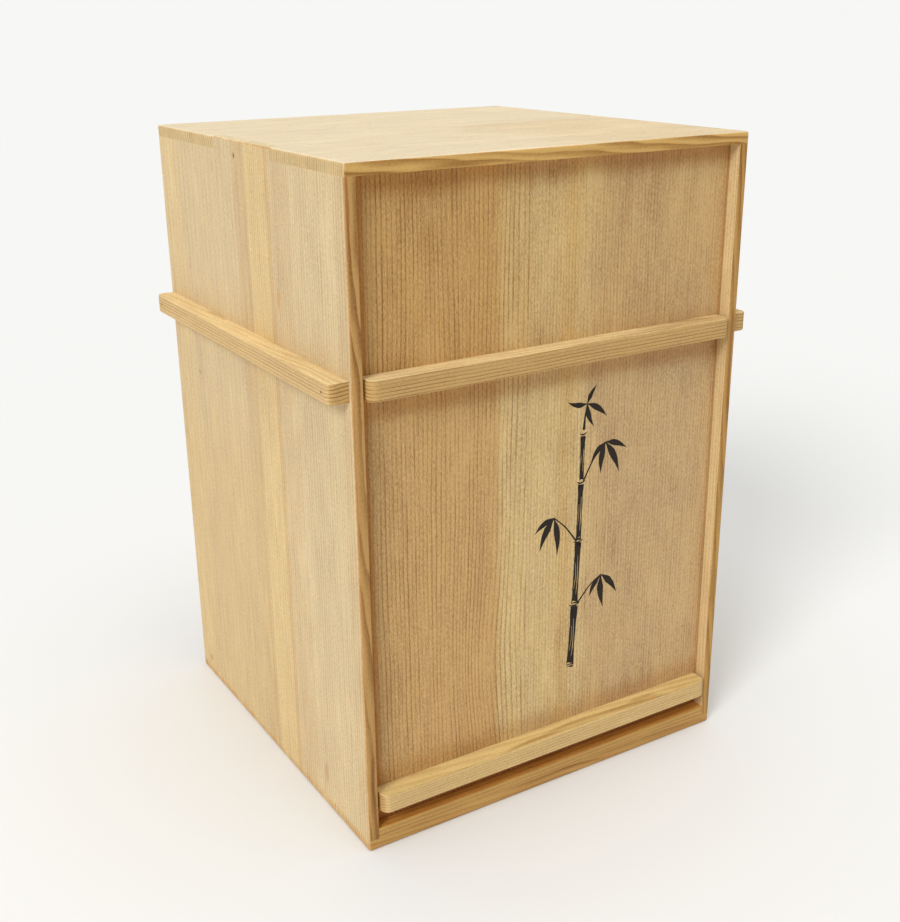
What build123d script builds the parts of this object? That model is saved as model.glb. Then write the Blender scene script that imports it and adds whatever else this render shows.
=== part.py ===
from build123d import *
import os

# Plain wooden utensil case with a lift-and-drop front lid.
# Millimetres. X runs across the front, the front faces -Y and Z points up.
# The origin is the middle of the footprint, on the surface that the case stands on.

# Case
case_width = 400.0
case_depth = 400.0
case_height = 598.0
side_thickness = 10.0
top_thickness = 10.5
bottom_thickness = 10.5
back_thickness = 8.0
case_arris_radius = 2.5
opening_arris_radius = 0.7

# Finger joints at the four long corners
front_finger_length = 132.0
rear_finger_length = 145.0

# Widths of the boards that each panel is glued up from, counted from the front or the left
side_front_board_width = 186.0
top_front_board_width = 206.0
bottom_front_board_width = 194.0
back_left_board_width = 212.0
lid_left_board_width = 163.0
shelf_front_board_width = 190.0

# Rebate for the back panel
rebate_depth = 5.0
back_panel_clearance = 0.2

# Sill strip and the two grooves that hold the lid
sill_height = 10.0
sill_depth = 30.0
sill_groove_depth = 3.5
top_groove_depth = 6.0
groove_clearance = 0.4
sill_arris_radius = 1.0

# Lid
lid_recess = 12.0
lid_thickness = 8.0
lid_side_clearance = 0.7
lid_top_entry = 1.5

# Battens on the lid
batten_height = 17.5
batten_thickness = 18.5
batten_end_gap = 2.5
batten_corner_radius = 8.0
upper_batten_level = 415.5
lower_batten_level = 38.0

# Carrying cleats on the sides, level with the upper batten
cleat_height = 17.5
cleat_thickness = 18.0
cleat_end_inset = 5.0
cleat_corner_radius = 6.5

strip_arris_radius = 1.2

# Shelves and the ledges that carry them
shelf_thickness = 8.0
shelf_setback = 6.0
shelf_side_clearance = 0.3
lower_shelf_level = 190.0
upper_shelf_level = 385.0
ledge_height = 12.0
ledge_width = 10.0
ledge_setback = 6.0

# Wooden pegs
peg_radius = 1.25
peg_hole_clearance = 0.05
cleat_peg_count = 2
cleat_peg_margin = 12.5
cleat_peg_grip = 6.0
batten_peg_count = 4
batten_peg_margin = 27.0
batten_peg_grip = 12.0
back_peg_count = 4
back_peg_margin = 60.0
back_peg_grip = 10.0
ledge_peg_count = 3
ledge_peg_margin = 30.0
ledge_peg_grip = 6.0
shelf_peg_count = 2
shelf_peg_margin = 75.0
shelf_peg_grip = 7.0

# Planes of the case
outer_x = case_width / 2
inner_x = outer_x - side_thickness
front_y = -case_depth / 2
rear_y = case_depth / 2
floor_z = bottom_thickness
ceiling_z = case_height - top_thickness
front_finger_end_y = front_y + front_finger_length
rear_finger_start_y = rear_y - rear_finger_length
back_face_y = rear_y - back_thickness

# Planes of the lid
lid_front_y = front_y + lid_recess
lid_back_y = lid_front_y + lid_thickness
lid_side_x = inner_x - lid_side_clearance
sill_top_z = floor_z + sill_height
lid_bottom_z = sill_top_z - sill_groove_depth
lid_top_z = ceiling_z + lid_top_entry
lid_split_x = lid_left_board_width - lid_side_x
lid_free_lift = top_groove_depth - lid_top_entry

# Planes of the strips and shelves
batten_length = 2 * (inner_x - batten_end_gap)
cleat_length = case_depth - 2 * cleat_end_inset
cleat_level = upper_batten_level + (batten_height - cleat_height) / 2
shelf_front_y = lid_back_y + shelf_setback
shelf_side_x = inner_x - shelf_side_clearance
ledge_front_y = shelf_front_y + ledge_setback
ledge_inner_x = inner_x - ledge_width
shelf_levels = {"lower": floor_z + lower_shelf_level, "upper": floor_z + upper_shelf_level}

LEFT = -1
RIGHT = 1
SIDES = {"left": LEFT, "right": RIGHT}


def block(x_range, y_range, z_range):
    """Box between three pairs of planes."""
    spans = (x_range, y_range, z_range)
    middle = [(low + high) / 2 for low, high in spans]
    lengths = [high - low for low, high in spans]
    return Pos(*middle) * Box(*lengths)


def side_span(sign, near, far):
    """X range between two distances from the middle, on one side of the case."""
    return tuple(sorted((sign * near, sign * far)))


def spread(low, high, count, margin):
    """Evenly spaced stations between two ends, kept a margin clear of both."""
    step = (high - low - 2 * margin) / (count - 1)
    return [low + margin + step * index for index in range(count)]


def case_envelope():
    """Outer shape of the closed case, with every outer arris eased."""
    body = block((-outer_x, outer_x), (front_y, rear_y), (0, case_height))
    return fillet(body.edges(), case_arris_radius)


# Pegs: each is a start point, a direction and a length

def cleat_peg_axes(sign):
    """Pegs driven from the outer face of a cleat into the side."""
    z = cleat_level + cleat_height / 2
    length = cleat_thickness + cleat_peg_grip
    stations = spread(-cleat_length / 2, cleat_length / 2, cleat_peg_count, cleat_peg_margin)
    return [((sign * (outer_x + cleat_thickness), y, z), (-sign, 0, 0), length) for y in stations]


def batten_peg_axes(level):
    """Pegs driven from the back of the lid into a batten."""
    z = level + batten_height / 2
    length = lid_thickness + batten_peg_grip
    stations = spread(-batten_length / 2, batten_length / 2, batten_peg_count, batten_peg_margin)
    return [((x, lid_back_y, z), (0, -1, 0), length) for x in stations]


def back_peg_axes(sign):
    """Pegs driven through the edge of the back panel into a side."""
    x = sign * (inner_x + rebate_depth / 2)
    length = back_thickness + back_peg_grip
    stations = spread(floor_z, ceiling_z, back_peg_count, back_peg_margin)
    return [((x, rear_y, z), (0, -1, 0), length) for z in stations]


def ledge_peg_axes(sign, level):
    """Pegs driven through a ledge into the side that carries it."""
    z = level - shelf_thickness - ledge_height / 2
    length = ledge_width + ledge_peg_grip
    stations = spread(ledge_front_y, back_face_y, ledge_peg_count, ledge_peg_margin)
    return [((sign * ledge_inner_x, y, z), (sign, 0, 0), length) for y in stations]


def shelf_peg_axes(sign, level):
    """Pegs driven down through a shelf into its ledge."""
    x = sign * (inner_x - ledge_width / 2)
    length = shelf_thickness + shelf_peg_grip
    stations = spread(shelf_front_y, back_face_y, shelf_peg_count, shelf_peg_margin)
    return [((x, y, level), (0, 0, -1), length) for y in stations]


def rod(axis, radius):
    """Round rod along one peg's axis."""
    start, direction, length = axis
    plane = Plane(origin=start, z_dir=direction)
    return extrude(plane * Circle(radius), amount=length)


def pegs(axes):
    """One group of separate pegs."""
    return Compound(children=[rod(axis, peg_radius).solid() for axis in axes])


def drilled(piece, axes):
    """Piece with a hole for every peg in the list."""
    for axis in axes:
        piece = piece - rod(axis, peg_radius + peg_hole_clearance)
    return piece


# Panels of the case, each split into the boards that it is glued up from

def back_recess():
    """Space of the rebate that takes the back panel."""
    reach = inner_x + rebate_depth
    return block((-reach, reach), (back_face_y, rear_y), (floor_z - rebate_depth, ceiling_z + rebate_depth))


def side_panel(sign):
    """One side: its middle finger reaches the top and the bottom of the case."""
    panel = block(side_span(sign, inner_x, outer_x), (front_y, rear_y), (0, case_height))
    for y_range in ((front_y, front_finger_end_y), (rear_finger_start_y, rear_y)):
        for z_range in ((0, floor_z), (ceiling_z, case_height)):
            panel = panel - block(side_span(sign, inner_x, outer_x), y_range, z_range)
    front_arrises = panel.edges().filter_by(Axis.Z).group_by(Axis.Y)[0]
    opening_arris = front_arrises.sort_by(lambda edge: abs(edge.center().X))[0]
    panel = fillet(opening_arris, opening_arris_radius)
    panel = (panel - back_recess()) & case_envelope()
    axes = cleat_peg_axes(sign) + back_peg_axes(sign)
    for level in shelf_levels.values():
        axes = axes + ledge_peg_axes(sign, level)
    return drilled(panel, axes)


def end_panel(z_range):
    """Top or bottom: its front and rear fingers reach the outer faces of the sides."""
    panel = block((-outer_x, outer_x), (front_y, rear_y), z_range)
    for sign in SIDES.values():
        x_range = side_span(sign, inner_x, outer_x)
        panel = panel - block(x_range, (front_finger_end_y, rear_finger_start_y), z_range)
    return (panel - back_recess()) & case_envelope()


def lid_groove(z_range):
    """Groove between the sides, as wide as the lid and its clearance."""
    y_range = (lid_front_y - groove_clearance, lid_back_y + groove_clearance)
    return block((-inner_x, inner_x), y_range, z_range)


def split_in_depth(panel, front_width):
    """Front and rear boards of a panel."""
    joint_y = front_y + front_width
    reach_x = (-case_width, case_width)
    reach_z = (-case_height, 2 * case_height)
    front = panel & block(reach_x, (front_y - case_depth, joint_y), reach_z)
    rear = panel & block(reach_x, (joint_y, rear_y + case_depth), reach_z)
    return front, rear


def top_panel():
    return end_panel((ceiling_z, case_height)) - lid_groove((ceiling_z, ceiling_z + top_groove_depth))


def bottom_panel():
    return end_panel((0, floor_z))


def back_boards():
    """Left and right boards of the back panel, a loose fit in their rebate."""
    reach = inner_x + rebate_depth - back_panel_clearance
    low_z = floor_z - rebate_depth + back_panel_clearance
    high_z = ceiling_z + rebate_depth - back_panel_clearance
    joint_x = back_left_board_width - reach
    left = block((-reach, joint_x), (back_face_y, rear_y), (low_z, high_z))
    right = block((joint_x, reach), (back_face_y, rear_y), (low_z, high_z))
    return drilled(left, back_peg_axes(LEFT)), drilled(right, back_peg_axes(RIGHT))


def sill_strip():
    """Strip on the bottom board that holds the foot of the lid in its groove."""
    strip = block((-inner_x, inner_x), (front_y, front_y + sill_depth), (floor_z, sill_top_z))
    front_arris = strip.edges().filter_by(Axis.X).group_by(Axis.Y)[0].sort_by(Axis.Z)[-1]
    strip = fillet(front_arris, sill_arris_radius)
    return strip - lid_groove((lid_bottom_z, sill_top_z))


# Lid

def lid_boards():
    """Left and right boards of the lid."""
    y_range = (lid_front_y, lid_back_y)
    z_range = (lid_bottom_z, lid_top_z)
    axes = batten_peg_axes(upper_batten_level) + batten_peg_axes(lower_batten_level)
    left = block((-lid_side_x, lid_split_x), y_range, z_range)
    right = block((lid_split_x, lid_side_x), y_range, z_range)
    return drilled(left, axes), drilled(right, axes)


def rounded_strip(length, thickness, height, corner_radius):
    """Strip with its back on the XZ plane, its outer corners rounded and its outer arrises eased."""
    outline = Pos(0, -thickness / 2) * Rectangle(length, thickness)
    outer_corners = outline.vertices().group_by(Axis.Y)[0]
    strip = extrude(fillet(outer_corners, corner_radius), amount=height)
    arrises = [
        edge
        for face in (strip.faces().sort_by(Axis.Z)[0], strip.faces().sort_by(Axis.Z)[-1])
        for edge in face.edges()
        if edge.center().Y < -strip_arris_radius / 2
    ]
    return fillet(arrises, strip_arris_radius)


def lid_batten(level):
    strip = rounded_strip(batten_length, batten_thickness, batten_height, batten_corner_radius)
    return drilled(Pos(0, lid_front_y, level) * strip, batten_peg_axes(level))


def cleat(sign):
    strip = rounded_strip(cleat_length, cleat_thickness, cleat_height, cleat_corner_radius)
    placed = Pos(sign * outer_x, 0, cleat_level) * Rot(0, 0, sign * 90) * strip
    return drilled(placed, cleat_peg_axes(sign))


# Shelves

def shelf_ledge(sign, level):
    """Ledge under one end of a shelf."""
    top_z = level - shelf_thickness
    x_range = side_span(sign, ledge_inner_x, inner_x)
    ledge = block(x_range, (ledge_front_y, back_face_y), (top_z - ledge_height, top_z))
    return drilled(ledge, ledge_peg_axes(sign, level) + shelf_peg_axes(sign, level))


def shelf_boards(level):
    """Front and rear boards of one shelf."""
    joint_y = shelf_front_y + shelf_front_board_width
    x_range = (-shelf_side_x, shelf_side_x)
    z_range = (level - shelf_thickness, level)
    axes = shelf_peg_axes(LEFT, level) + shelf_peg_axes(RIGHT, level)
    front = block(x_range, (shelf_front_y, joint_y), z_range)
    rear = block(x_range, (joint_y, back_face_y), z_range)
    return drilled(front, axes), drilled(rear, axes)


def build_nodes():
    """Every piece of the case by its node name."""
    nodes = {}
    for name, sign in SIDES.items():
        front, rear = split_in_depth(side_panel(sign), side_front_board_width)
        nodes[f"{name}_side_front_board"] = front
        nodes[f"{name}_side_rear_board"] = rear
        nodes[f"{name}_cleat"] = cleat(sign)
    nodes["top_front_board"], nodes["top_rear_board"] = split_in_depth(top_panel(), top_front_board_width)
    nodes["bottom_front_board"], nodes["bottom_rear_board"] = split_in_depth(
        bottom_panel(), bottom_front_board_width
    )
    nodes["back_left_board"], nodes["back_right_board"] = back_boards()
    nodes["sill_strip"] = sill_strip()
    for shelf, level in shelf_levels.items():
        nodes[f"{shelf}_shelf_front_board"], nodes[f"{shelf}_shelf_rear_board"] = shelf_boards(level)
        for name, sign in SIDES.items():
            nodes[f"{shelf}_{name}_ledge"] = shelf_ledge(sign, level)
    nodes["lid_left_board"], nodes["lid_right_board"] = lid_boards()
    nodes["lid_upper_batten"] = lid_batten(upper_batten_level)
    nodes["lid_lower_batten"] = lid_batten(lower_batten_level)

    both = list(SIDES.values())
    levels = list(shelf_levels.values())
    nodes["cleat_pegs"] = pegs([axis for sign in both for axis in cleat_peg_axes(sign)])
    nodes["back_pegs"] = pegs([axis for sign in both for axis in back_peg_axes(sign)])
    nodes["ledge_pegs"] = pegs([axis for level in levels for sign in both for axis in ledge_peg_axes(sign, level)])
    nodes["shelf_pegs"] = pegs([axis for level in levels for sign in both for axis in shelf_peg_axes(sign, level)])
    nodes["batten_pegs"] = pegs(batten_peg_axes(upper_batten_level) + batten_peg_axes(lower_batten_level))
    return nodes


os.makedirs("parts", exist_ok=True)
for node_name, shape in build_nodes().items():
    export_step(shape, f"parts/{node_name}.step")
print(f"free lift of the lid: {lid_free_lift:.1f} mm")
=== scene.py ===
import math

import bpy
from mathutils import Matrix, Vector, noise


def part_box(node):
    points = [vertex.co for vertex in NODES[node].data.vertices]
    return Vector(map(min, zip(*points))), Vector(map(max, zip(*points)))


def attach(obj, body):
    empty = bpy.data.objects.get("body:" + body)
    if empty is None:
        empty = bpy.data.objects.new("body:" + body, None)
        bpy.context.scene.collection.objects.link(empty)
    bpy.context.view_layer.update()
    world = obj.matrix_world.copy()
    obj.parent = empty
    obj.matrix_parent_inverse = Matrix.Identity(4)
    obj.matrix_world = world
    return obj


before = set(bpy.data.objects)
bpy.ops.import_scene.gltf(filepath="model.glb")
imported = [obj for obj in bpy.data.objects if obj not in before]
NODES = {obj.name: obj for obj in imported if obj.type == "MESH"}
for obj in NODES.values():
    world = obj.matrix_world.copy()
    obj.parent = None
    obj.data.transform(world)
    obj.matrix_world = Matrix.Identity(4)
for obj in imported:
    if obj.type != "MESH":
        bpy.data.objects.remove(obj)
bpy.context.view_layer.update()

bpy.ops.object.select_all(action="DESELECT")


# Nodes and values of a finish

class Value:
    """Number that varies over a surface. Python's operators add its maths nodes."""

    def __init__(self, finish, socket):
        self.finish = finish
        self.socket = socket

    def maths(self, operation, *operands):
        made = self.finish.node("ShaderNodeMath", {"operation": operation}, dict(enumerate(operands)))
        return Value(self.finish, made.outputs[0])

    def __add__(self, other):
        return self.maths("ADD", self, other)

    def __radd__(self, other):
        return self.maths("ADD", other, self)

    def __sub__(self, other):
        return self.maths("SUBTRACT", self, other)

    def __rsub__(self, other):
        return self.maths("SUBTRACT", other, self)

    def __mul__(self, other):
        return self.maths("MULTIPLY", self, other)

    def __rmul__(self, other):
        return self.maths("MULTIPLY", other, self)

    def __truediv__(self, other):
        return self.maths("DIVIDE", self, other)

    def __rtruediv__(self, other):
        return self.maths("DIVIDE", other, self)

    def __pow__(self, other):
        return self.maths("POWER", self, other)

    def __abs__(self):
        return self.maths("ABSOLUTE", self)

    def larger(self, other):
        return self.maths("MAXIMUM", self, other)

    def smaller(self, other):
        return self.maths("MINIMUM", self, other)

    def fraction(self):
        return self.maths("FRACT", self)

    def whole(self):
        return self.maths("FLOOR", self)

    def limited(self):
        return self.larger(0.0).smaller(1.0)

    def rise(self, low, high):
        """0 below low, 1 above high and an eased slope between."""
        settings = {"interpolation_type": "SMOOTHSTEP"}
        made = self.finish.node("ShaderNodeMapRange", settings, {0: self, 1: low, 2: high})
        return Value(self.finish, made.outputs[0])

    def band(self, low, high, blur):
        """1 between low and high, with both edges blurred."""
        return self.rise(low - blur, low + blur) * (1 - self.rise(high - blur, high + blur))


class Nodes:
    """Node tree made from nothing."""

    def __init__(self, tree):
        self.tree = tree
        self.tree.nodes.clear()

    def node(self, kind, settings=None, inputs=None):
        made = self.tree.nodes.new(kind)
        for name, setting in (settings or {}).items():
            setattr(made, name, setting)
        for name, given in (inputs or {}).items():
            self.give(made.inputs[name], given)
        return made

    def give(self, socket, given):
        """Link a value or an output to the socket, or set the socket to a plain number or colour."""
        given = getattr(given, "socket", given)
        if isinstance(given, bpy.types.NodeSocket):
            self.tree.links.new(given, socket)
        else:
            socket.default_value = given


class Finish(Nodes):
    """One procedural material."""

    def __init__(self, name):
        self.material = bpy.data.materials.new(name)
        self.material.use_nodes = True
        super().__init__(self.material.node_tree)
        self.shader = self.node("ShaderNodeBsdfPrincipled")
        self.node("ShaderNodeOutputMaterial", inputs={"Surface": self.shader.outputs[0]})
        self.coordinates = self.node("ShaderNodeTexCoord")

    def parts(self, vector):
        made = self.node("ShaderNodeSeparateXYZ", inputs={0: vector})
        return [Value(self, socket) for socket in made.outputs]

    def millimetres(self):
        return [part * 1000 for part in self.parts(self.coordinates.outputs["Object"])]

    def facing(self):
        """How squarely the surface faces along each axis, either way."""
        return [abs(part) for part in self.parts(self.coordinates.outputs["Normal"])]

    def noise(self, point, detail=2.0, roughness=0.5):
        """Smooth random value about 0."""
        vector = self.node("ShaderNodeCombineXYZ", inputs=dict(enumerate(point)))
        inputs = {"Vector": vector.outputs[0], "Scale": 1.0, "Detail": detail, "Roughness": roughness}
        return Value(self, self.node("ShaderNodeTexNoise", inputs=inputs).outputs[0]) - 0.5

    def by_number(self, number):
        """A steady random value from 0 to 1 for each whole number."""
        made = self.node("ShaderNodeTexWhiteNoise", {"noise_dimensions": "1D"}, {"W": number})
        return Value(self, made.outputs[0])

    def mix(self, share, first, second, how="MIX"):
        settings = {"data_type": "RGBA", "blend_type": how}
        return self.node("ShaderNodeMix", settings, {0: share, 6: first, 7: second}).outputs[2]

    def set(self, **inputs):
        for name, given in inputs.items():
            self.give(self.shader.inputs[name.replace("_", " ")], given)

    def relief(self, height, distance):
        inputs = {"Height": height, "Distance": distance, "Strength": 1.0}
        self.set(Normal=self.node("ShaderNodeBump", inputs=inputs).outputs[0])


def tint(red, green, blue):
    """Colour from 0 to 255 display values, as the linear values that a shader takes."""
    display = [channel / 255 for channel in (red, green, blue)]
    linear = [c / 12.92 if c <= 0.04045 else ((c + 0.055) / 1.055) ** 2.4 for c in display]
    return (*linear, 1.0)


# Wood

BARE_GLOSS = 0.22                      # Specular level of wood with no oil or wax
GRAIN_DEPTH = 0.00006
LOG_STEP = 311.0                       # How far along its log each seed lies from the one before
FLAT_ON = (0.55, 0.85)                 # How squarely a surface faces an axis to belong to its face

USUAL_SHADE = 0.30                     # Where a board's own tone lies between its palest and darkest
LATE_MEAN = 0.13                       # Mean of the late wood, taken off so that rings keep the tone
END_LINES = 0.55                       # How much stronger the rings are on cut ends
PALEST = (1.19, 1.25, 1.31, 1)         # What a board's tone is multiplied by at its palest
DARKEST = (0.55, 0.42, 0.27, 1)
BEIGE = (1.04, 1.07, 1.15, 1)          # The same, for the beige clouds on the broad faces

RESIN = tint(200, 142, 72)
PORE = tint(112, 76, 40)
HANDLED = tint(184, 130, 66)
FOOT_STAIN = tint(198, 148, 82)
FOOT_STAIN_HEIGHTS = (1.5, 7.0, 2.5)   # Where the stain starts and ends, and its blur

# Streaks drawn out along the grain: rates along and across it per millimetre, detail and roughness
CROOKS = (0.013, 0.03, 2.0, 0.5)
FADES = (0.018, 0.05, 2.0, 0.5)
SPECKS = (0.34, 1.1, 3.0, 0.68)
STRANDS = (0.02, 0.42, 3.0, 0.6)
PATCHES = (0.022, 0.05, 3.0, 0.55)
CLOUDS = (0.006, 0.022, 2.0, 0.5)
WANDERS = (0.009, 0.06, 2.0, 0.45)
RESIN_FLECKS = (0.05, 0.17, 1.0, 0.5)
PORES = (0.30, 1.4, 1.0, 0.5)

CROOK_REACH = 2.2                      # How far a crook moves the rings
RING_SPREAD = 2.0                      # How many rings the wide and narrow years gain or lose
FLAME_WIDTH = 7.0
FLAME_SLANT = 0.066
FLAME_WANDER = 16
FLAME_MEAN = 0.28


class Wood(Finish):
    """Softwood sawn from a log, with growth rings round a pith line along the grain axis.

    stack is the axis that the rings follow each other along. Lengths are in millimetres.
    """

    def __init__(self, name, grain, stack, seed):
        super().__init__(name)
        third = next(axis for axis in "XYZ" if axis not in (grain, stack))
        self.seed = seed
        self.place = dict(zip("XYZ", self.millimetres()))
        self.squareness = dict(zip("XYZ", self.facing()))
        self.up_grain = self.place[grain]
        self.along = self.up_grain + LOG_STEP * seed
        self.across = self.place[stack]
        self.through = self.place[third]
        self.on_edge = self.squareness[stack].rise(*FLAT_ON)
        self.on_end = self.squareness[grain].rise(*FLAT_ON)
        self.speck = self.streaks(SPECKS)
        self.strand = self.streaks(STRANDS)
        self.patch = self.streaks(PATCHES)
        self.cloud = self.streaks(CLOUDS)

    def streaks(self, kind):
        along_rate, across_rate, detail, roughness = kind
        point = (self.along * along_rate, self.across * across_rate, self.through * across_rate)
        return self.noise(point, detail, roughness)

    def farness(self, centre_across, centre_along, radius_across, radius_along):
        """Square of the distance from a spot, in units of its radii."""
        across_part = (self.across - centre_across) / radius_across
        along_part = (self.up_grain - centre_along) / radius_along
        return across_part ** 2 + along_part ** 2

    def late_wood(self, ring, pith, early, waver, swirl):
        """Darkness of the growth rings, from 0 in the early wood to 1 in the darkest late wood."""
        drift = self.noise((self.along * 0.0022, self.across * 0.012, self.through * 0.02))
        crook = self.streaks(CROOKS)
        out = ((self.across - pith[0]) ** 2 + (self.through - pith[1]) ** 2) ** 0.5
        if swirl:
            *spot, push = swirl
            out = out + push / (1 + self.farness(*spot))
        spread = self.noise((out * 0.03, 0.0, float(self.seed)))
        count = (out + drift * waver + crook * CROOK_REACH) / ring + spread * RING_SPREAD
        phase = count.fraction()
        darkening = phase.rise(early, 0.90) ** 1.4 * (1 - phase.rise(0.92, 1.0))
        year = self.by_number(count.whole() + self.seed)
        fade = self.streaks(FADES).rise(-0.25, 0.10)
        return darkening * (0.5 + 0.5 * year) * (0.35 + 0.65 * fade)

    def flames(self):
        """Broad slanting grain of the edges, as a value about 0."""
        wander = self.streaks(WANDERS) * FLAME_WANDER
        sweep = ((self.through * 0.9 + self.along * FLAME_SLANT + wander) / FLAME_WIDTH).fraction()
        tongue = sweep.rise(0.10, 0.85) * (1 - sweep.rise(0.85, 1.0))
        return (tongue * (0.7 + self.cloud * 1.6) - FLAME_MEAN) * self.on_edge

    def own_tone(self, tone, edge, end, bands, mottle):
        """Tone of the broad faces with their bands and beige clouds, then that of edges and ends."""
        unevenness = self.patch + self.cloud
        own = tint(*tone)
        for axis, start, stop, blur, colour, share in bands:
            where = self.place[axis] + unevenness * blur
            own = self.mix(where.band(start, stop, blur) * share, own, tint(*colour))
        blotch = unevenness.rise(-0.10, 0.16) * mottle
        own = self.mix(blotch.limited(), own, self.mix(1.0, own, BEIGE, "MULTIPLY"))
        if edge:
            own = self.mix(self.on_edge, own, tint(*edge))
        if end:
            own = self.mix(self.on_end, own, tint(*end))
        return own

    def flecked(self, colour, marks):
        colour = self.mix(self.streaks(RESIN_FLECKS).rise(0.19, 0.29) * 0.4, colour, RESIN)
        colour = self.mix(self.streaks(PORES).rise(0.24, 0.34) * 0.35, colour, PORE)
        for *spot, tone, share in marks:
            mark = 1 - (self.farness(*spot) + self.speck).rise(0.2, 1.1)
            colour = self.mix(mark * share, colour, tint(*tone))
        return colour

    def used(self, colour, worn):
        """The colour with its rounded edges darkened by hands, and a stain along the foot."""
        if worn:
            flat = self.squareness["X"].larger(self.squareness["Y"]).larger(self.squareness["Z"])
            handled = (1 - flat.rise(0.88, 0.995)) * (0.7 + self.patch * 1.5 + self.speck * 0.8)
            colour = self.mix((handled * worn).limited(), colour, HANDLED)
        stained = self.place["Z"].band(*FOOT_STAIN_HEIGHTS) * (0.45 + self.patch * 2.0)
        return self.mix(stained.limited(), colour, FOOT_STAIN)


def wood(name, grain, stack, tone, ring, pith, edge=None, end=None, lines=0.5, early=0.45, speckle=1.0,
         mottle=0.5, waver=10.0, worn=0.0, flame=0.0, bands=(), marks=(), swirl=None, seed=0):
    """Finish of one board.

    ring is the width of a year's growth. pith is where the pith line lies along the stack axis and
    along the third one, from the origin. tone is the mean colour of the broad faces, edge that of
    the faces across the stack axis and end that of the cut ends. early is the pale share of a ring
    and waver how far the rings drift. lines, speckle, mottle and flame are the strengths of the
    rings, the specks, the clouds and the slanting grain of the edges, and worn that of the handled
    tone on rounded edges. A band is a stripe of another tone: its axis, where it starts and ends,
    its blur, its colour and how much of it there is. A mark is an oval spot: where it lies across
    and along the grain, its two radii, its colour and how much of it there is. swirl is where the
    rings bulge: its place across and along, its two radii and the push.
    """
    board = Wood(name, grain, stack, seed)
    late = board.late_wood(ring, pith, early, waver, swirl)
    shade = USUAL_SHADE + (late - LATE_MEAN) * (lines + board.on_end * END_LINES)
    shade = shade + (board.speck + board.strand * 0.4) * speckle
    shade = shade + (board.patch + board.cloud) * mottle * 0.7
    if flame:
        shade = shade + board.flames() * flame

    own = board.own_tone(tone, edge, end, bands, mottle)
    palest = board.mix(1.0, own, PALEST, "MULTIPLY")
    darkest = board.mix(1.0, own, DARKEST, "MULTIPLY")
    colour = board.mix(shade.limited(), palest, darkest)
    colour = board.used(board.flecked(colour, marks), worn)
    roughness = 0.60 - late * 0.10 + board.speck * 0.15
    board.set(Base_Color=colour, Roughness=roughness, Specular_IOR_Level=BARE_GLOSS)
    board.relief(late * 0.35 + board.speck * 0.8 + board.strand * 0.8, GRAIN_DEPTH)
    return board.material


def dress(material, *names):
    for name in names:
        slots = NODES[name].data.materials
        slots.clear()
        slots.append(material)


# Tones in display values. An edge is a long narrow face, and an end is cut across the grain
SIDE = (215, 190, 146)
SIDE_REAR = (214, 188, 144)
SIDE_REAR_LOW = (210, 179, 126)
FAR_SIDE_REAR = (212, 184, 136)
SIDE_END = (232, 213, 170)
FRONT_EDGE = (178, 135, 78)
FAR_EDGE = (178, 134, 71)
ROSY = (206, 173, 126)
STRAW = (221, 191, 136)
RUSSET = (208, 162, 98)
# The top's own wood tone, made paler with painted sheen
TOP = (229, 210, 175)
TOP_TO_RIGHT = (221, 194, 148)
TOP_EDGE = (197, 154, 87)
TOP_END = (206, 177, 127)
FOOT_EDGE = (190, 148, 84)
FOOT_END = (213, 182, 132)
SILL_LEDGE = (196, 138, 66)
BACK_LEFT = (208, 176, 124)
BACK_RIGHT = (211, 183, 134)
LID_STRAW = (212, 182, 127)
LID_STREAK = (204, 164, 100)
LID_LEFT = (197, 157, 101)
LID_RIGHT = (198, 164, 116)
# Tones of painted shade on the lid: its darker upper part, under the top and battens and along its sides,
# and the gap below the lower batten
LID_UPPER_SHADE = (182, 138, 70)
LID_SHADED = (166, 105, 38)
GAP_SHADED = (172, 106, 54)
UPPER_BATTEN = (192, 154, 96)
UPPER_BATTEN_TOP = (220, 192, 139)
LOWER_BATTEN = (209, 176, 119)
LOWER_BATTEN_TOP = (209, 179, 118)
CLEAT = (208, 173, 118)
CLEAT_TOP = (221, 192, 139)
STRIP_END = (190, 152, 94)
INSIDE = (214, 186, 140)
PEG = (140, 98, 56)

# Tones of small marks
AMBER = (210, 158, 84)
SCUFF = (182, 138, 86)
PIN_KNOT = (120, 78, 44)
FRECKLE = (172, 130, 80)
SMUDGE = (160, 118, 70)
FAR_STREAK = (196, 142, 80)
BACK_STREAK = (190, 134, 74)
BACK_FRECKLE = (168, 122, 70)

# Painted shade: the lid is darker under the top, under each batten and in the gap below the lower one
LID_SHADES = [
    ("Z", 572, 600, 9, LID_SHADED, 0.55), ("Z", 394, 420, 7, LID_SHADED, 0.4),
    ("Z", 56, 74, 9, LID_SHADED, 0.25), ("Z", 10, 37, 2, GAP_SHADED, 0.9),
]
# The back boards are darker along the foot, in the lid's painted-shade tone
BACK_FOOT = ("Z", 0, 24, 8, LID_SHADED, 0.2)


# Sides

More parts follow.
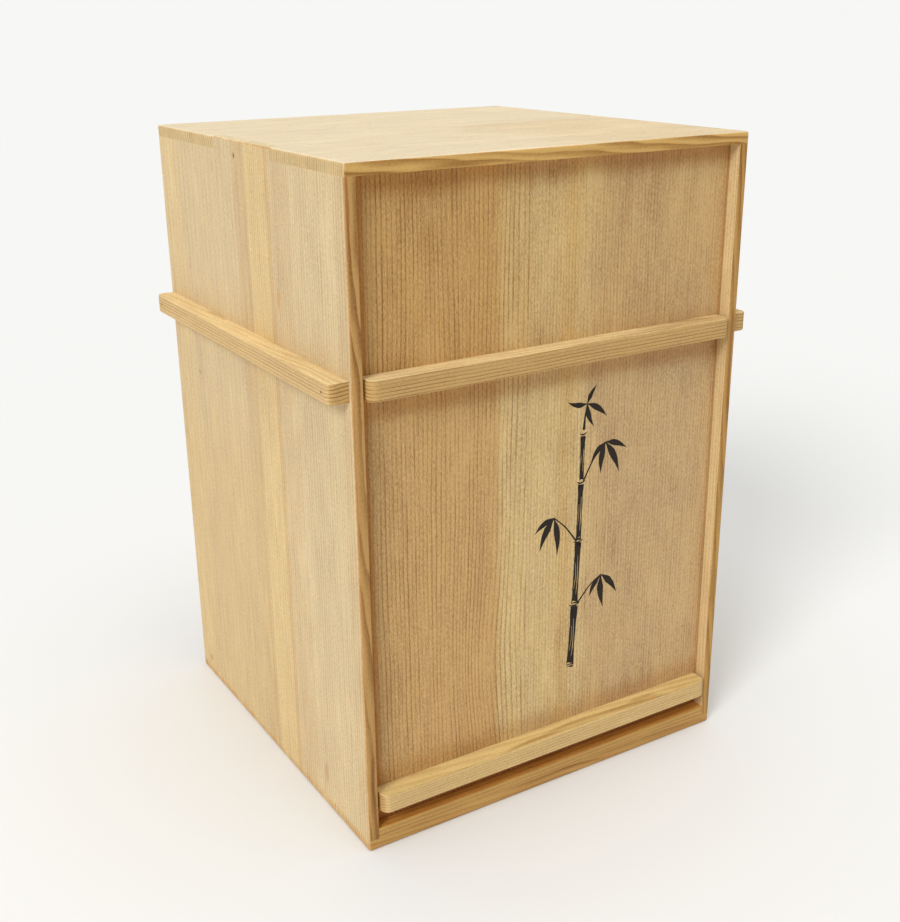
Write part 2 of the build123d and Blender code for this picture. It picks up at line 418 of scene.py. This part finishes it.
dress(
    wood("side_front_wood", "Z", "Y", SIDE, ring=4.2, pith=(-1400, 60), edge=FRONT_EDGE, end=SIDE_END,
         lines=0.32, early=0.15, speckle=1.3, mottle=0.6, worn=0.7, flame=1.0, seed=1,
         bands=[("Y", -54, -14, 2, STRAW, 0.9), ("Y", -62, -54, 3, RUSSET, 0.45),
                ("Y", -98, -64, 9, ROSY, 0.35), ("Y", -200, -184, 6, ROSY, 0.4)],
         marks=[(-70, 473, 5, 10, AMBER, 0.5), (-118, 36, 4, 13, SCUFF, 0.5)]),
    "left_side_front_board",
)
dress(
    wood("side_rear_wood", "Z", "Y", SIDE_REAR, ring=8.0, pith=(900, 340), edge=FRONT_EDGE, end=SIDE_END,
         lines=0.2, speckle=1.3, mottle=0.6, worn=0.4, flame=0.7, seed=2,
         bands=[("Y", -20, 12, 4, ROSY, 0.7), ("Y", 150, 210, 12, STRAW, 0.45),
                ("Z", -50, 330, 80, SIDE_REAR_LOW, 0.6)],
         marks=[(8, 585, 2.2, 3.0, PIN_KNOT, 0.8), (135, 362, 4, 3, FRECKLE, 0.5),
                (175, 20, 5, 4, SMUDGE, 0.5)]),
    "left_side_rear_board",
)
dress(
    wood("far_side_front_wood", "Z", "Y", SIDE, ring=4.2, pith=(-1000, -80), edge=FAR_EDGE, end=SIDE_END,
         lines=0.3, early=0.15, speckle=1.3, mottle=0.6, worn=0.5, flame=1.0, seed=3,
         bands=[("Y", -200, -150, 12, STRAW, 0.7), ("Y", -96, -60, 9, ROSY, 0.6),
                ("Z", -50, 200, 90, ROSY, 0.3)]),
    "right_side_front_board",
)
dress(
    wood("far_side_rear_wood", "Z", "Y", FAR_SIDE_REAR, ring=7.0, pith=(900, -300), edge=FRONT_EDGE,
         end=SIDE_END, lines=0.2, early=0.25, speckle=1.3, mottle=0.7, worn=0.4, flame=0.7, seed=4,
         bands=[("Y", 40, 76, 7, STRAW, 0.7), ("Y", 150, 210, 14, ROSY, 0.6)],
         marks=[(118, 250, 4, 9, FAR_STREAK, 0.5)]),
    "right_side_rear_board",
)


# Top, bottom and sill

dress(
    wood("top_front_wood", "X", "Y", TOP, ring=3.4, pith=(-1100, 540), edge=TOP_EDGE, end=TOP_END,
         lines=0.28, speckle=0.9, flame=0.9, seed=5, bands=[("X", 20, 220, 60, TOP_TO_RIGHT, 0.5)]),
    "top_front_board",
)
dress(
    wood("top_rear_wood", "X", "Y", TOP, ring=5.0, pith=(900, 300), edge=TOP_EDGE, end=TOP_END,
         lines=0.2, speckle=0.9, flame=0.7, seed=6),
    "top_rear_board",
)
dress(
    wood("bottom_front_wood", "X", "Y", INSIDE, ring=4.4, pith=(-800, 40), edge=FOOT_EDGE, end=FOOT_END,
         worn=0.4, flame=0.6, seed=7),
    "bottom_front_board",
)
dress(
    wood("bottom_rear_wood", "X", "Y", INSIDE, ring=5.2, pith=(600, -60), edge=FOOT_EDGE, end=FOOT_END,
         lines=0.3, flame=0.6, seed=8),
    "bottom_rear_board",
)
dress(
    wood("sill_wood", "X", "Z", FOOT_EDGE, ring=3.4, pith=(-160, -330), edge=SILL_LEDGE, seed=11),
    "sill_strip",
)


# Back

dress(
    wood("back_left_wood", "Z", "X", BACK_LEFT, ring=4.4, pith=(-1200, 60), lines=0.34, early=0.25,
         speckle=1.4, mottle=0.7, waver=18, swirl=(-90, 380, 30, 80, 12), seed=9,
         bands=[("X", -30, 12, 8, STRAW, 0.8), ("X", -200, -150, 14, ROSY, 0.6), BACK_FOOT]),
    "back_left_board",
)
dress(
    wood("back_right_wood", "Z", "X", BACK_RIGHT, ring=6.4, pith=(1100, 330), lines=0.22, early=0.2,
         speckle=1.4, mottle=0.8, waver=14, seed=10,
         bands=[("X", 86, 120, 8, ROSY, 0.7), ("X", 150, 200, 12, STRAW, 0.6), BACK_FOOT],
         marks=[(64, 210, 5, 12, BACK_STREAK, 0.5), (140, 472, 3, 5, BACK_FRECKLE, 0.5)]),
    "back_right_board",
)


# Lid

# Painted shade on both lid boards: the darker upper part, the LID_SHADES bands, and a darker strip along
# the lid's left and right edges beside the sides
dress(
    wood("lid_left_wood", "Z", "X", LID_LEFT, ring=4.2, pith=(-1600, -120), lines=0.68, speckle=1.9,
         mottle=0.9, waver=20, swirl=(-75, 140, 34, 90, 13), seed=12,
         bands=[("X", -56, -10, 5, LID_STRAW, 0.85), ("Z", 440, 600, 20, LID_UPPER_SHADE, 0.4), *LID_SHADES,
                ("X", -200, -180, 4, LID_SHADED, 0.85)]),
    "lid_left_board",
)
dress(
    wood("lid_right_wood", "Z", "X", LID_RIGHT, ring=3.4, pith=(1400, -120), lines=0.4, speckle=1.8,
         mottle=1.0, seed=13,
         bands=[("X", -30, 42, 14, LID_STRAW, 0.85), ("X", 8, 24, 8, LID_STREAK, 0.45),
                ("X", 186, 200, 3, LID_SHADED, 0.4), ("Z", 440, 600, 20, LID_UPPER_SHADE, 0.25), *LID_SHADES]),
    "lid_right_board",
)
dress(
    wood("upper_batten_wood", "X", "Z", UPPER_BATTEN, ring=3.0, pith=(900, -200), edge=UPPER_BATTEN_TOP,
         end=STRIP_END, lines=0.8, early=0.55, flame=0.4, seed=14),
    "lid_upper_batten",
)
dress(
    wood("lower_batten_wood", "X", "Z", LOWER_BATTEN, ring=3.0, pith=(-500, -200), edge=LOWER_BATTEN_TOP,
         end=STRIP_END, lines=0.6, early=0.55, flame=0.4, seed=15),
    "lid_lower_batten",
)


# Cleats, ledges, shelves and pegs

for cleat_side, away, cleat_seed in (("left", -260, 16), ("right", 260, 17)):
    dress(
        wood(cleat_side + "_cleat_wood", "Y", "Z", CLEAT, ring=3.0, pith=(950, away), edge=CLEAT_TOP,
             end=STRIP_END, lines=0.8, early=0.55, flame=0.3, seed=cleat_seed),
        cleat_side + "_cleat",
    )
dress(
    wood("ledge_wood", "Y", "Z", INSIDE, ring=3.8, pith=(-300, 0), seed=18),
    "lower_left_ledge", "lower_right_ledge", "upper_left_ledge", "upper_right_ledge",
)
dress(
    wood("shelf_front_wood", "X", "Y", INSIDE, ring=4.6, pith=(-700, 80), lines=0.4, seed=19),
    "lower_shelf_front_board", "upper_shelf_front_board",
)
dress(
    wood("shelf_rear_wood", "X", "Y", INSIDE, ring=5.6, pith=(600, 120), lines=0.3, seed=20),
    "lower_shelf_rear_board", "upper_shelf_rear_board",
)
dress(
    wood("peg_wood", "X", "Z", PEG, ring=1.1, pith=(-60, 30), waver=0.5, seed=21),
    "cleat_pegs", "back_pegs", "ledge_pegs", "shelf_pegs", "batten_pegs",
)


# Brushed bamboo on the lid. Its points are (across, up) or (across, up, width), in millimetres

LID_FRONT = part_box("lid_right_board")[0][1]
INK_BLACK = tint(26, 20, 15)
INK_THIN = tint(46, 37, 28)
INK_DRY = tint(92, 70, 46)
INK_SOAKED = 0.00005                   # How deep the ink goes into the wood
INK_HEIGHT = 0.00004
INK_STEP = 0.000004                    # Each stroke lies this much over the one before
STROKE_STEPS = 8
LEAST_WIDTH = 0.15
BRISTLE_SHARE = 0.16                   # How much the bristles roughen a stroke's width
BRISTLE_RATE = 0.9
BRISTLE_SLICE = 3.7
WELD = 0.000002

CULM = [(26, 112), (29.5, 176), (32, 240), (33.5, 298), (34.5, 344)]
CULM_WIDTHS = (9.4, 8.4, 7.2, 6.0)
JOINT_GAP = 3.4
TWIGS = [
    [(36, 299, 1.8), (47, 318, 1.4), (60, 332, 1.0)],
    [(30, 241, 1.8), (17, 258, 1.4), (4, 270, 1.0)],
    [(33, 177, 1.8), (47, 192, 1.4), (60, 200, 1.0)],
    [(35, 348, 3.0), (36, 360, 1.8), (38, 372, 1.0)],
]
# Each spray's foot, and the bearing, length, width and bend of its leaves
SPRAYS = [
    ((60, 332), [(-62, 36, 7.0, 2), (-98, 30, 6.4, -2), (-22, 27, 5.6, 2), (-132, 24, 5.4, -2)]),
    ((4, 270), [(-118, 33, 6.8, -2), (-84, 38, 6.6, 2), (-152, 24, 5.4, -2)]),
    ((60, 200), [(-50, 30, 6.4, 2), (-84, 35, 7.0, -2), (-124, 24, 5.2, -2)]),
    ((38, 372), [(-34, 27, 5.6, 2), (-70, 24, 5.2, -2), (58, 19, 4.2, 1), (168, 22, 4.8, 2)]),
]
# Shares of a leaf's length and of its width
LEAF_PROFILE = ((0.0, 0.10), (0.12, 0.38), (0.34, 1.0), (0.62, 0.78), (0.86, 0.28), (1.0, 0.03))


def ink():
    finish = Finish("ink")
    across, _, up = finish.millimetres()
    dry = finish.noise((across * 1.6, 0.0, up * 0.22), 3.0, 0.6).rise(0.04, 0.22)
    thin = finish.noise((across * 0.08, 0.0, up * 0.08)) + 0.5
    colour = finish.mix(thin.limited(), INK_BLACK, INK_THIN)
    colour = finish.mix(dry * 0.45, colour, INK_DRY)
    finish.set(Base_Color=colour, Roughness=0.6 + dry * 0.2, Specular_IOR_Level=BARE_GLOSS)
    return finish.material


def smooth(before, start, stop, after, share):
    """Point between start and stop on an even curve through all four."""
    square, cube = share ** 2, share ** 3
    return (
        before * ((-share + 2 * square - cube) / 2) + start * ((2 - 5 * square + 3 * cube) / 2)
        + stop * ((share + 4 * square - 3 * cube) / 2) + after * ((cube - square) / 2)
    )


def outline(points):
    """Closed outline of a brush stroke through points with widths."""
    held = [Vector(point) for point in points]
    held = [2 * held[0] - held[1], *held, 2 * held[-1] - held[-2]]
    line = []
    for index in range(1, len(held) - 2):
        for step in range(STROKE_STEPS):
            line.append(smooth(*held[index - 1:index + 3], step / STROKE_STEPS))
    line.append(held[-2])
    left, right = [], []
    for index, point in enumerate(line):
        run = line[min(index + 1, len(line) - 1)] - line[max(index - 1, 0)]
        normal = Vector((-run.y, run.x, 0)).normalized()
        bristle = 1 + BRISTLE_SHARE * noise.noise(Vector((point.x, point.y, BRISTLE_SLICE)) * BRISTLE_RATE)
        half = max(point.z, LEAST_WIDTH) / 2 * bristle
        centre = Vector((point.x, point.y, 0))
        left.append(centre + normal * half)
        right.append(centre - normal * half)
    return left + right[::-1]


def brush_stroke(points, slits, height):
    """Thin closed piece of ink that stands height over the lid, with slits where the bristles ran dry."""
    data = bpy.data.curves.new("stroke", "CURVE")
    data.dimensions = "2D"
    data.fill_mode = "BOTH"
    data.extrude = (height + INK_SOAKED) / 2
    for loop in [outline(points)] + [outline(slit) for slit in slits]:
        spline = data.splines.new("POLY")
        spline.points.add(len(loop) - 1)
        for given, point in zip(spline.points, loop):
            given.co = (point.x / 1000, point.y / 1000, 0, 1)
        spline.use_cyclic_u = True
    item = bpy.data.objects.new("stroke", data)
    bpy.context.scene.collection.objects.link(item)
    item.select_set(True)
    bpy.context.view_layer.objects.active = item
    bpy.ops.object.convert(target="MESH")
    item = bpy.context.object
    item.rotation_euler = (math.radians(90), 0, 0)
    item.location = (0, LID_FRONT + (INK_SOAKED - height) / 2, 0)
    bpy.ops.object.transform_apply(location=True, rotation=True, scale=True)
    bpy.ops.object.mode_set(mode="EDIT")
    bpy.ops.mesh.select_all(action="SELECT")
    bpy.ops.mesh.remove_doubles(threshold=WELD)
    bpy.ops.mesh.normals_make_consistent(inside=False)
    bpy.ops.object.mode_set(mode="OBJECT")
    item.select_set(False)
    return item


def culm_length(start, stop, width):
    """Stroke between two joints of the stalk, and its two slits."""
    low, high = start[1] + JOINT_GAP / 2, stop[1] - JOINT_GAP / 2
    middle = (start[0] + stop[0]) / 2
    body = [
        (start[0], low, width * 0.92), (start[0] + 0.3, low + 3, width * 0.86),
        (middle, (low + high) / 2, width * 0.74),
        (stop[0] - 0.2, high - 3, width * 0.88), (stop[0], high, width * 0.96),
    ]
    slits = [
        [(start[0] + 1.4, low + 9, 0.3), (middle + 1.3, low + 24, 0.7), (middle + 1.5, high - 12, 0.3)],
        [(start[0] - 1.2, low + 15, 0.3), (middle - 0.8, low + 27, 0.5), (middle - 0.9, high - 19, 0.3)],
    ]
    return body, slits


def joint_hook(joint, width):
    """Small upturned stroke across the stalk at a joint."""
    across, up = joint
    reach = width * 0.62
    return [(across - reach, up + 0.9, 0.9), (across, up - 0.3, 1.5), (across + reach, up + 1.1, 0.8)]


def leaf(foot, bearing, length, width, bend):
    """Stroke of a leaf that grows from foot. Its bearing is in degrees from straight right."""
    run = Vector((math.cos(math.radians(bearing)), math.sin(math.radians(bearing))))
    side = Vector((-run.y, run.x))
    points = []
    for share, breadth in LEAF_PROFILE:
        spot = Vector(foot) + run * length * share + side * bend * math.sin(math.pi * share)
        points.append((spot.x, spot.y, width * breadth))
    return points


def bamboo_strokes():
    """Each stroke with its slits, in the order that they are brushed."""
    strokes = []
    for start, stop, width in zip(CULM, CULM[1:], CULM_WIDTHS):
        strokes += [culm_length(start, stop, width), (joint_hook(stop, width), [])]
    strokes += [(twig, []) for twig in TWIGS]
    for foot, leaves in SPRAYS:
        strokes += [(leaf(foot, *shape), []) for shape in leaves]
    return strokes


def brushed_bamboo():
    pieces = []
    for order, (points, slits) in enumerate(bamboo_strokes()):
        pieces.append(brush_stroke(points, slits, INK_HEIGHT + INK_STEP * order))
    for piece in pieces:
        piece.select_set(True)
    bpy.context.view_layer.objects.active = pieces[0]
    bpy.ops.object.join()
    bamboo = bpy.context.object
    bamboo.name = "brushed_bamboo"
    bamboo.data.materials.append(ink())
    bamboo.select_set(False)
    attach(bamboo, "lid")


brushed_bamboo()


# Floor, camera and light

FLOOR_SIZE = 600                       # Metres, so that its far edge lies at the horizon
FLOOR_TONE = tint(231, 231, 229)
BACKDROP_TONE = tint(247, 247, 245)
LIGHT_ALL_ROUND = 0.3
CAMERA_PLACE = (-0.6075, -1.0093, 0.6990)
CAMERA_TURN = (1.21995, 0.01005, -0.55264)
CAMERA_LENS = 47.9346
CAMERA_SENSOR = 36


def floor():
    bpy.ops.mesh.primitive_plane_add(size=FLOOR_SIZE, location=(0, 0, 0))
    plane = bpy.context.object
    plane.name = "floor"
    bpy.ops.object.transform_apply(location=True, rotation=True, scale=True)
    finish = Finish("floor_paint")
    finish.set(Base_Color=FLOOR_TONE, Roughness=0.7, Specular_IOR_Level=0.0)
    plane.data.materials.append(finish.material)
    plane.select_set(False)


def camera():
    data = bpy.data.cameras.new("camera")
    data.lens = CAMERA_LENS
    data.sensor_width = CAMERA_SENSOR
    item = bpy.data.objects.new("camera", data)
    item.location = CAMERA_PLACE
    item.rotation_euler = CAMERA_TURN
    bpy.context.scene.collection.objects.link(item)
    bpy.context.scene.camera = item


def soft_sun(name, direction, spread, strength):
    """Even light that comes from a direction, with shadows as soft as spread makes them."""
    data = bpy.data.lights.new(name, "SUN")
    data.angle = spread
    data.energy = strength
    item = bpy.data.objects.new(name, data)
    item.rotation_euler = Vector(direction).to_track_quat("Z", "Y").to_euler()
    bpy.context.scene.collection.objects.link(item)


def surroundings():
    """Dim white light all round, and a pale backdrop where only the camera sees it."""
    world = bpy.data.worlds.new("surroundings")
    bpy.context.scene.world = world
    world.use_nodes = True
    sky = Nodes(world.node_tree)
    seen = sky.node("ShaderNodeLightPath").outputs["Is Camera Ray"]
    light = sky.node("ShaderNodeBackground", inputs={"Color": (1, 1, 1, 1), "Strength": LIGHT_ALL_ROUND})
    backdrop = sky.node("ShaderNodeBackground", inputs={"Color": BACKDROP_TONE})
    both = sky.node("ShaderNodeMixShader", inputs={0: seen, 1: light.outputs[0], 2: backdrop.outputs[0]})
    sky.node("ShaderNodeOutputWorld", inputs={"Surface": both.outputs[0]})


floor()
camera()
surroundings()
soft_sun("window", direction=(-0.72, -0.40, 0.567), spread=0.40, strength=1.70)
soft_sun("ceiling", direction=(0.0, -0.05, 1.0), spread=1.05, strength=1.75)

scene = bpy.context.scene
scene.view_settings.view_transform = "Standard"
